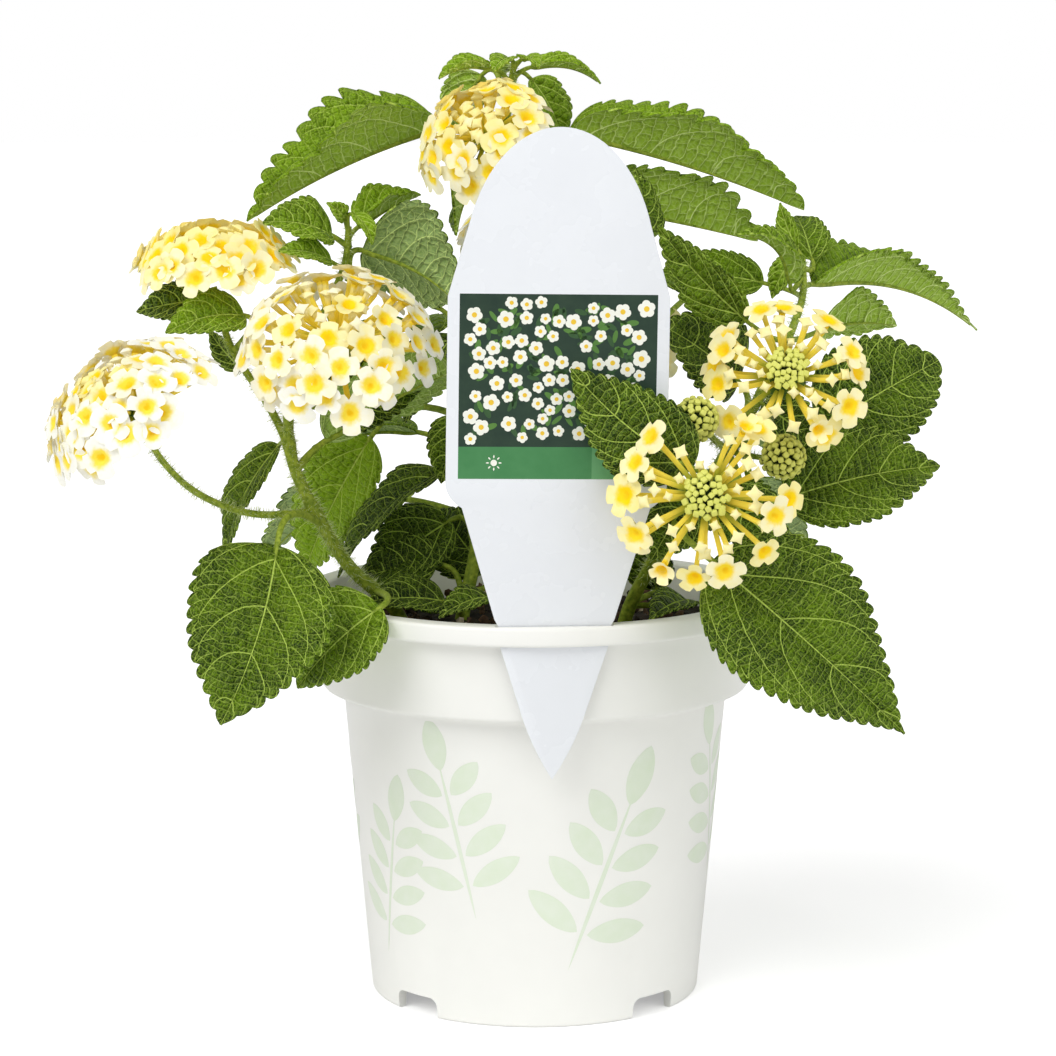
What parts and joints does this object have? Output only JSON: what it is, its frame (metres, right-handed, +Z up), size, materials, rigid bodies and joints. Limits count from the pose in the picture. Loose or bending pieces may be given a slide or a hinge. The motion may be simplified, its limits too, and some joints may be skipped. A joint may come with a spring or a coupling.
{
  "type": "potted lantana plant",
  "caption": "Flowering lantana in a round white nursery pot, with a plain plant label standing in a slot of the pot's lip.",
  "frame": {"origin": "centre of the bounding box in plan, at its bottom: within a millimetre of the pot's axis, on the surface that the pot's foot ring stands on", "axes": "+Z up, -Y towards the side that the plant label faces, +X to the right of someone who looks at the label"},
  "size_m": [0.2296, 0.157, 0.2311],
  "materials": {
    "pot": "smooth semi-gloss",
    "soil": "coarse matte",
    "label": "smooth printed",
    "stem": "hairy matte",
    "leaf": "wrinkled satin",
    "fresh_leaf": "wrinkled satin",
    "white_floret": "soft matte",
    "yellow_floret": "soft matte",
    "bud": "soft matte"
  },
  "bodies": {
    "root": {"pot": "pot", "soil": "soil", "plant_label": "label", "stem_left": "stem", "stem_centre": "stem", "stem_right": "stem", "stem_back_left": "stem", "stem_back_right": "stem", "leaf_top_left": "leaf", "leaf_top_right": "leaf", "leaf_top_front": "leaf", "leaf_top_behind": "leaf", "leaf_upper_left": "leaf", "leaf_upper_right": "leaf", "leaf_under_top": "leaf", "leaf_second_right": "leaf", "leaf_left_grey": "leaf", "leaf_left_fresh_right": "fresh_leaf", "leaf_left_fresh_left": "fresh_leaf", "leaf_under_left_head": "leaf", "leaf_far_left_dark": "leaf", "leaf_left_edge_on": "leaf", "leaf_grey_middle": "leaf", "leaf_narrow_left": "leaf", "leaf_bright_middle": "leaf", "leaf_front_left": "leaf", "leaf_low_left": "leaf", "leaf_long_dark": "leaf", "leaf_dark_middle": "leaf", "leaf_behind_label_left": "leaf", "leaf_over_label": "leaf", "leaf_behind_label_right": "leaf", "leaf_right_folded": "leaf", "leaf_right_edge_on": "leaf", "leaf_right_light": "leaf", "leaf_right_arch_left": "leaf", "leaf_right_top_dark": "leaf", "leaf_right_long": "leaf", "leaf_right_pale": "leaf", "leaf_right_dark": "leaf", "leaf_right_middle": "leaf", "leaf_front_right": "leaf", "leaf_low_right_dark": "leaf", "leaf_back_upper_left": "leaf", "leaf_back_upper_right": "leaf", "leaf_back_middle": "leaf", "leaf_back_low_left": "leaf", "leaf_back_low_right": "leaf", "leaf_back_top": "leaf", "head_top": "yellow_floret", "head_upper_left": "yellow_floret", "head_far_left": "white_floret", "head_centre_left": "white_floret", "head_upper_right": "yellow_floret", "head_lower_right": "yellow_floret", "head_back_upper": "white_floret", "head_back_lower": "yellow_floret", "bud_head_left": "bud", "bud_head_right": "bud"}
  },
  "joints": []
}
